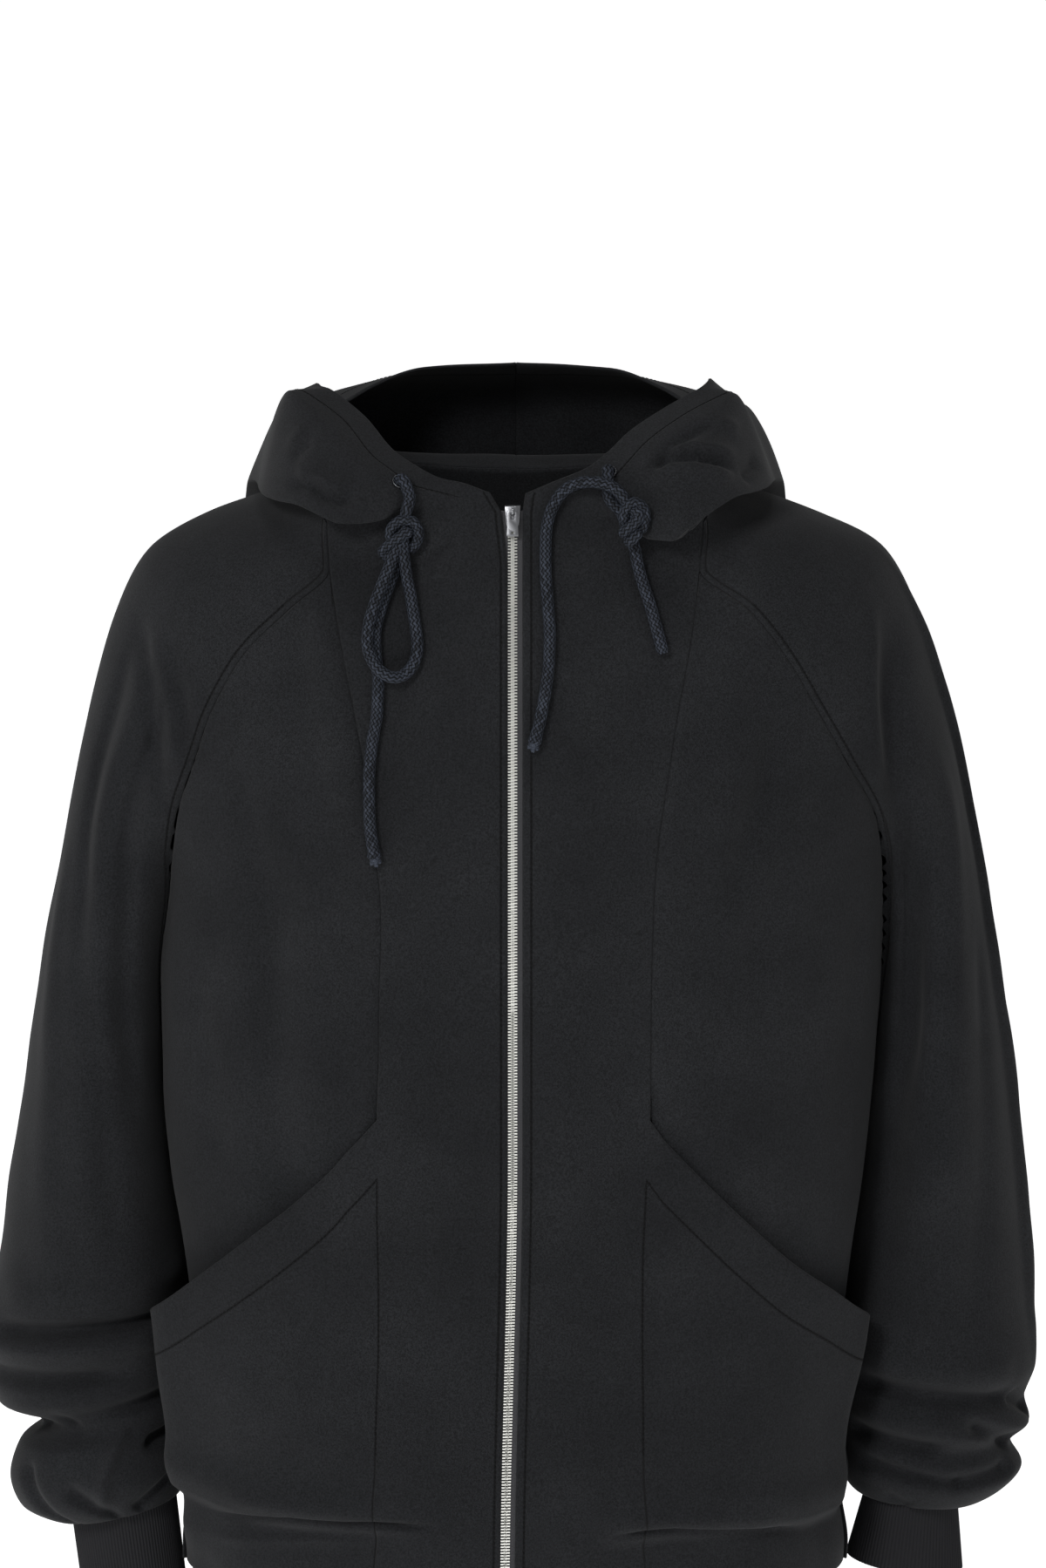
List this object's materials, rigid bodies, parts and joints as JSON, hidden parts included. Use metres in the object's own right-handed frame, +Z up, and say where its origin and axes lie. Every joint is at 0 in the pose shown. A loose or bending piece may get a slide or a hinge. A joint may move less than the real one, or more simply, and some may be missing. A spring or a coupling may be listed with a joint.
{
  "type": "zip up hoodie",
  "caption": "Oversized raglan zip-up hooded sweatshirt in heavy black fleece, worn form, hollow, with cut-on pockets, ribbed cuffs and hem, metal zip and knotted hood cord.",
  "frame": {"origin": "on the worn garment's middle plane between the shoulder seams, where the wearer's shoulders carry it", "axes": "front of the garment faces -Y, the wearer's left is +X, up is +Z"},
  "size_m": [0.6834, 0.3329, 0.8188],
  "materials": {
    "fleece": "smooth black sweatshirt fleece, matt",
    "rib_knit": "black rib knit, matt",
    "zip_tape": "black woven tape",
    "zip_metal": "bright silver teeth",
    "slider_metal": "polished nickel",
    "eyelet_metal": "gunmetal",
    "cord": "blue-black braided cotton"
  },
  "bodies": {
    "garment": {"front_right": "fleece", "front_left": "fleece", "side_front_right": "fleece", "side_front_left": "fleece", "back": "fleece", "sleeve_right": "fleece", "sleeve_left": "fleece", "cuff_right": "rib_knit", "cuff_left": "rib_knit", "hem_rib": "rib_knit", "zip_tape_right": "zip_tape", "zip_tape_left": "zip_tape", "zip_chain": "zip_metal", "zip_slider": "slider_metal", "eyelet_right": "eyelet_metal", "eyelet_left": "eyelet_metal", "cord_drop_right": "cord", "knot_right": "cord", "cord_loop_right": "cord", "cord_tail_right": "cord", "cord_drop_left": "cord", "knot_left": "cord", "cord_long_left": "cord", "cord_short_left": "cord"},
    "pull": {"zip_pull": "slider_metal"}
  },
  "joints": [
    {"name": "zip_pull_hinge", "type": "hinge", "parent": "garment", "child": "pull", "pos_m": [-0.002, -0.10087, -0.00307], "axis": [-1, 0, 0], "range_deg": [0, 150]}
  ]
}
